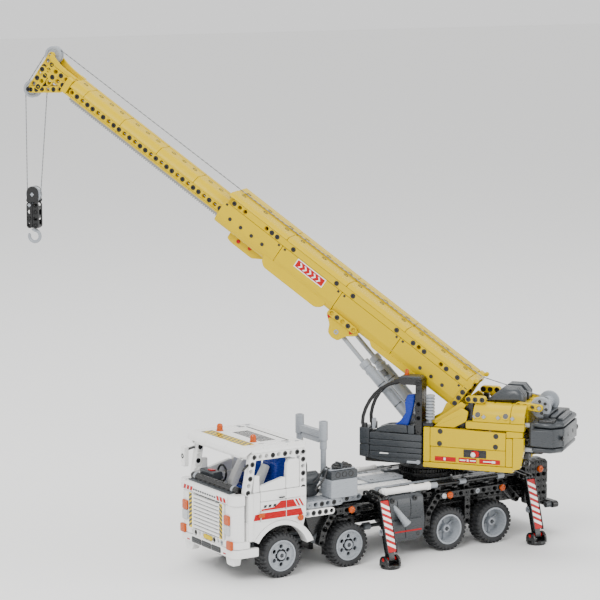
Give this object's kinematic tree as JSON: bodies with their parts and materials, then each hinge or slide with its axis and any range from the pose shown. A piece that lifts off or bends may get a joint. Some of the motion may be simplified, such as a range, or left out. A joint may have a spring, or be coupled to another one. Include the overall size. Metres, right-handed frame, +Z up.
{
  "type": "toy truck crane",
  "caption": "Toy truck crane of module beams and panels: steered multi-axle truck, outriggers, slewing superstructure, telescopic luffing boom and a roped hook.",
  "frame": {"origin": "middle of the whole crane's footprint, on the ground, with the boom raised over the far front corner", "axes": "+X from the truck's front to its tail, +Y to its far side, +Z up"},
  "size_m": [0.4708, 0.554, 0.5625],
  "materials": {
    "yellow_abs": "moulded, glossy",
    "black_abs": "moulded, glossy",
    "dark_grey_abs": "moulded, glossy",
    "light_grey_abs": "moulded, glossy",
    "white_abs": "moulded, glossy",
    "red_abs": "moulded, glossy",
    "tyre_rubber": "soft, matte",
    "rope_cord": "braided, matte"
  },
  "bodies": {
    "chassis": {"chassis_frame": "black_abs", "deck_panel": "white_abs", "turntable_base": "black_abs", "side_fairing_near": "dark_grey_abs", "side_fairing_far": "dark_grey_abs", "arch_beam_near": "black_abs", "arch_beam_far": "black_abs", "rear_housing": "black_abs", "battery_box": "light_grey_abs", "exhaust_stacks": "dark_grey_abs", "truck_cab_shell": "white_abs", "window_frame": "black_abs", "cab_roof": "white_abs", "front_grille": "white_abs", "front_bumper": "black_abs"},
    "superstructure": {"slew_platform": "black_abs", "side_panel_near": "yellow_abs", "side_panel_far": "yellow_abs", "engine_cover": "yellow_abs", "winch_cover": "dark_grey_abs", "counterweight": "dark_grey_abs", "crane_cab_body": "dark_grey_abs", "crane_cab_frame": "black_abs", "rope_winch": "rope_cord"},
    "lift_cylinders": {"lift_cylinders": "light_grey_abs"},
    "lift_rods": {"lift_rods": "light_grey_abs"},
    "outer_boom": {"outer_boom": "yellow_abs"},
    "inner_boom": {"inner_boom": "yellow_abs", "extension_rack": "light_grey_abs", "boom_head": "yellow_abs", "rope_boom": "rope_cord"},
    "extension_pinion": {"extension_pinion": "light_grey_abs"},
    "rope_hanger": {"rope_anchor": "black_abs"},
    "hook_block": {"hook_block": "black_abs", "rope_falls": "rope_cord"},
    "hook_pulley": {"hook_pulley": "light_grey_abs"},
    "hook": {"hook": "light_grey_abs"},
    "upper_pulley": {"upper_pulley": "light_grey_abs"},
    "lower_pulley": {"lower_pulley": "light_grey_abs"},
    "winch_drum": {"winch_drum": "light_grey_abs"},
    "wheel_1_near": {"wheel_1_near": "tyre_rubber"},
    "steering_knuckle_1_near": {"steering_knuckle_1_near": "light_grey_abs"},
    "wheel_1_far": {"wheel_1_far": "tyre_rubber"},
    "steering_knuckle_1_far": {"steering_knuckle_1_far": "light_grey_abs"},
    "wheel_2_near": {"wheel_2_near": "tyre_rubber"},
    "steering_knuckle_2_near": {"steering_knuckle_2_near": "light_grey_abs"},
    "wheel_2_far": {"wheel_2_far": "tyre_rubber"},
    "steering_knuckle_2_far": {"steering_knuckle_2_far": "light_grey_abs"},
    "wheel_3_near": {"wheel_3_near": "tyre_rubber"},
    "wheel_3_far": {"wheel_3_far": "tyre_rubber"},
    "wheel_4_near": {"wheel_4_near": "tyre_rubber"},
    "wheel_4_far": {"wheel_4_far": "tyre_rubber"},
    "outrigger_leg_1_near": {"outrigger_leg_1_near": "red_abs"},
    "outrigger_foot_1_near": {"outrigger_foot_1_near": "black_abs"},
    "outrigger_leg_1_far": {"outrigger_leg_1_far": "red_abs"},
    "outrigger_foot_1_far": {"outrigger_foot_1_far": "black_abs"},
    "outrigger_leg_2_near": {"outrigger_leg_2_near": "red_abs"},
    "outrigger_foot_2_near": {"outrigger_foot_2_near": "black_abs"},
    "outrigger_leg_2_far": {"outrigger_leg_2_far": "red_abs"},
    "outrigger_foot_2_far": {"outrigger_foot_2_far": "black_abs"}
  },
  "joints": [
    {"name": "slew", "type": "hinge", "parent": "chassis", "child": "superstructure", "pos_m": [0.08224, -0.11674, 0.09], "axis": [0, 0, 1], "range_deg": [-97, 200]},
    {"name": "boom_luff", "type": "hinge", "parent": "superstructure", "child": "outer_boom", "pos_m": [0.11723, -0.16046, 0.16], "axis": [0.7808, 0.6247, 0], "range_deg": [-27.5, 22], "deforming": ["rope_winch"]},
    {"name": "cylinder_pivot", "type": "hinge", "parent": "superstructure", "child": "lift_cylinders", "pos_m": [0.09037, -0.12688, 0.116], "axis": [0.7808, 0.6247, 0], "range_deg": [-31, 31]},
    {"name": "rod_slide", "type": "slide", "parent": "lift_cylinders", "child": "lift_rods", "axis": [-0.4172, 0.5215, 0.7443], "range_m": [-0.032, 0.032]},
    {"name": "boom_extend", "type": "slide", "parent": "outer_boom", "child": "inner_boom", "axis": [-0.5113, 0.6391, 0.5745], "range_m": [-0.21, 0], "deforming": ["rope_boom"]},
    {"name": "pinion_spin", "type": "hinge", "parent": "outer_boom", "child": "extension_pinion", "pos_m": [-0.05004, 0.04861, 0.33205], "axis": [-0.7808, -0.6247, 0], "range_deg": [-3012, 5]},
    {"name": "hook_swing", "type": "hinge", "parent": "inner_boom", "child": "rope_hanger", "pos_m": [-0.22397, 0.26599, 0.51157], "axis": [0.7808, 0.6247, 0], "range_deg": [-23, 28.5]},
    {"name": "hook_hoist", "type": "slide", "parent": "rope_hanger", "child": "hook_block", "axis": [0, 0, -1], "range_m": [-0.08, 0.15], "deforming": ["rope_falls"]},
    {"name": "drum_spin", "type": "hinge", "parent": "superstructure", "child": "winch_drum", "pos_m": [0.16971, -0.22605, 0.168], "axis": [-0.7808, -0.6247, 0], "range_deg": [-1215, 2270]},
    {"name": "upper_pulley_spin", "type": "hinge", "parent": "inner_boom", "child": "upper_pulley", "pos_m": [-0.2062, 0.24378, 0.55209], "axis": [-0.7808, -0.6247, 0], "range_deg": [-958, 1794]},
    {"name": "lower_pulley_spin", "type": "hinge", "parent": "inner_boom", "child": "lower_pulley", "pos_m": [-0.22397, 0.26599, 0.51157], "axis": [-0.7808, -0.6247, 0], "range_deg": [-958, 1794]},
    {"name": "hook_pulley_spin", "type": "hinge", "parent": "hook_block", "child": "hook_pulley", "pos_m": [-0.2245, 0.26665, 0.385], "axis": [-0.7808, -0.6247, 0], "range_deg": [-526, 985]},
    {"name": "hook_swivel", "type": "hinge", "parent": "hook_block", "child": "hook", "pos_m": [-0.2245, 0.26665, 0.343], "axis": [0, 0, 1], "continuous": true},
    {"name": "steer_1_near", "type": "hinge", "parent": "chassis", "child": "steering_knuckle_1_near", "pos_m": [-0.15055, -0.15074, 0.02475], "axis": [0, 0, 1], "range_deg": [-20, 20]},
    {"name": "wheel_1_near_spin", "type": "hinge", "parent": "steering_knuckle_1_near", "child": "wheel_1_near", "pos_m": [-0.15055, -0.16673, 0.02475], "axis": [0, 1, 0], "continuous": true},
    {"name": "steer_1_far", "type": "hinge", "parent": "chassis", "child": "steering_knuckle_1_far", "pos_m": [-0.15055, -0.08274, 0.02475], "axis": [0, 0, 1], "range_deg": [-20, 20]},
    {"name": "wheel_1_far_spin", "type": "hinge", "parent": "steering_knuckle_1_far", "child": "wheel_1_far", "pos_m": [-0.15055, -0.06674, 0.02475], "axis": [0, 1, 0], "continuous": true},
    {"name": "steer_2_near", "type": "hinge", "parent": "chassis", "child": "steering_knuckle_2_near", "pos_m": [-0.06255, -0.15074, 0.02475], "axis": [0, 0, 1], "range_deg": [-13, 13]},
    {"name": "wheel_2_near_spin", "type": "hinge", "parent": "steering_knuckle_2_near", "child": "wheel_2_near", "pos_m": [-0.06255, -0.16673, 0.02475], "axis": [0, 1, 0], "continuous": true},
    {"name": "steer_2_far", "type": "hinge", "parent": "chassis", "child": "steering_knuckle_2_far", "pos_m": [-0.06255, -0.08274, 0.02475], "axis": [0, 0, 1], "range_deg": [-13, 13]},
    {"name": "wheel_2_far_spin", "type": "hinge", "parent": "steering_knuckle_2_far", "child": "wheel_2_far", "pos_m": [-0.06255, -0.06674, 0.02475], "axis": [0, 1, 0], "continuous": true},
    {"name": "wheel_3_near_spin", "type": "hinge", "parent": "chassis", "child": "wheel_3_near", "pos_m": [0.07344, -0.16673, 0.02475], "axis": [0, 1, 0], "continuous": true},
    {"name": "wheel_3_far_spin", "type": "hinge", "parent": "chassis", "child": "wheel_3_far", "pos_m": [0.07344, -0.06674, 0.02475], "axis": [0, 1, 0], "continuous": true},
    {"name": "wheel_4_near_spin", "type": "hinge", "parent": "chassis", "child": "wheel_4_near", "pos_m": [0.13745, -0.16673, 0.02475], "axis": [0, 1, 0], "continuous": true},
    {"name": "wheel_4_far_spin", "type": "hinge", "parent": "chassis", "child": "wheel_4_far", "pos_m": [0.13745, -0.06674, 0.02475], "axis": [0, 1, 0], "continuous": true},
    {"name": "outrigger_1_near", "type": "hinge", "parent": "chassis", "child": "outrigger_leg_1_near", "pos_m": [-0.02655, -0.16073, 0.076], "axis": [-1, 0, 0], "range_deg": [0, 38]},
    {"name": "foot_1_near", "type": "hinge", "parent": "outrigger_leg_1_near", "child": "outrigger_foot_1_near", "pos_m": [-0.02655, -0.20373, 0.01], "axis": [-1, 0, 0], "range_deg": [-40, 2]},
    {"name": "outrigger_1_far", "type": "hinge", "parent": "chassis", "child": "outrigger_leg_1_far", "pos_m": [-0.02655, -0.07273, 0.076], "axis": [1, 0, 0], "range_deg": [0, 38]},
    {"name": "foot_1_far", "type": "hinge", "parent": "outrigger_leg_1_far", "child": "outrigger_foot_1_far", "pos_m": [-0.02655, -0.02974, 0.01], "axis": [1, 0, 0], "range_deg": [-40, 2]},
    {"name": "outrigger_2_near", "type": "hinge", "parent": "chassis", "child": "outrigger_leg_2_near", "pos_m": [0.17744, -0.16073, 0.076], "axis": [-1, 0, 0], "range_deg": [0, 38]},
    {"name": "foot_2_near", "type": "hinge", "parent": "outrigger_leg_2_near", "child": "outrigger_foot_2_near", "pos_m": [0.17744, -0.20373, 0.01], "axis": [-1, 0, 0], "range_deg": [-40, 2]},
    {"name": "outrigger_2_far", "type": "hinge", "parent": "chassis", "child": "outrigger_leg_2_far", "pos_m": [0.17744, -0.07273, 0.076], "axis": [1, 0, 0], "range_deg": [0, 38]},
    {"name": "foot_2_far", "type": "hinge", "parent": "outrigger_leg_2_far", "child": "outrigger_foot_2_far", "pos_m": [0.17744, -0.02974, 0.01], "axis": [1, 0, 0], "range_deg": [-40, 2]}
  ],
  "couplings": [
    {"joint": "cylinder_pivot", "follows": "boom_luff", "ratio": 0.99},
    {"joint": "rod_slide", "follows": "boom_luff", "m_per_rad": 0.06037},
    {"joint": "pinion_spin", "follows": "boom_extend", "rad_per_m": 250},
    {"joint": "hook_swing", "follows": "boom_luff", "ratio": -1},
    {"joint": "drum_spin", "follows": "hook_hoist", "rad_per_m": 263.16},
    {"joint": "upper_pulley_spin", "follows": "hook_hoist", "rad_per_m": 208.33},
    {"joint": "lower_pulley_spin", "follows": "hook_hoist", "rad_per_m": 208.33},
    {"joint": "hook_pulley_spin", "follows": "hook_hoist", "rad_per_m": 114.29},
    {"joint": "steer_1_far", "follows": "steer_1_near", "ratio": 1},
    {"joint": "steer_2_near", "follows": "steer_1_near", "ratio": 0.62},
    {"joint": "steer_2_far", "follows": "steer_1_near", "ratio": 0.62},
    {"joint": "foot_1_near", "follows": "outrigger_1_near", "ratio": -1},
    {"joint": "foot_1_far", "follows": "outrigger_1_far", "ratio": -1},
    {"joint": "foot_2_near", "follows": "outrigger_2_near", "ratio": -1},
    {"joint": "foot_2_far", "follows": "outrigger_2_far", "ratio": -1}
  ]
}
